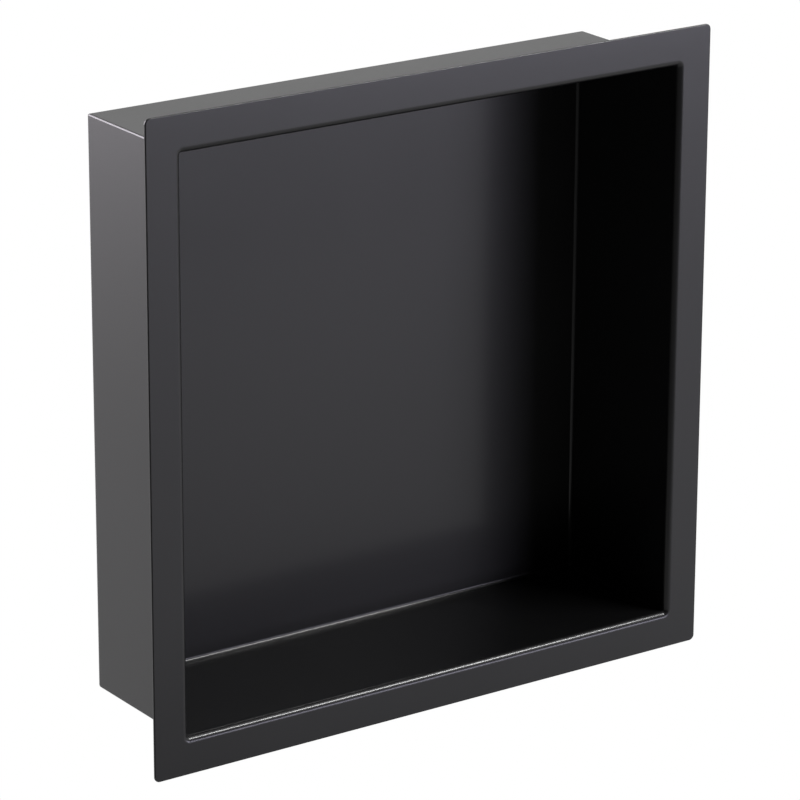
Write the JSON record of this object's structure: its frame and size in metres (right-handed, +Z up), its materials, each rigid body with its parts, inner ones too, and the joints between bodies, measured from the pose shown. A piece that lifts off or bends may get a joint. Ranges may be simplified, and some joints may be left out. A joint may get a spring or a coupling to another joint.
{
  "type": "recessed bathroom niche",
  "caption": "Square open box folded from black coated sheet steel, set into a wall to hold bottles, with a flat flange round its mouth that covers the cut-out.",
  "frame": {"origin": "middle of the opening, in the plane of the flange's rear face, which is the face of the finished wall", "axes": "+X to the right as the user faces the niche, +Y into the wall, +Z up"},
  "size_m": [0.34, 0.0865, 0.34],
  "materials": {
    "black_coating": "satin"
  },
  "bodies": {
    "root": {"niche_shell": "black_coating"}
  },
  "joints": []
}
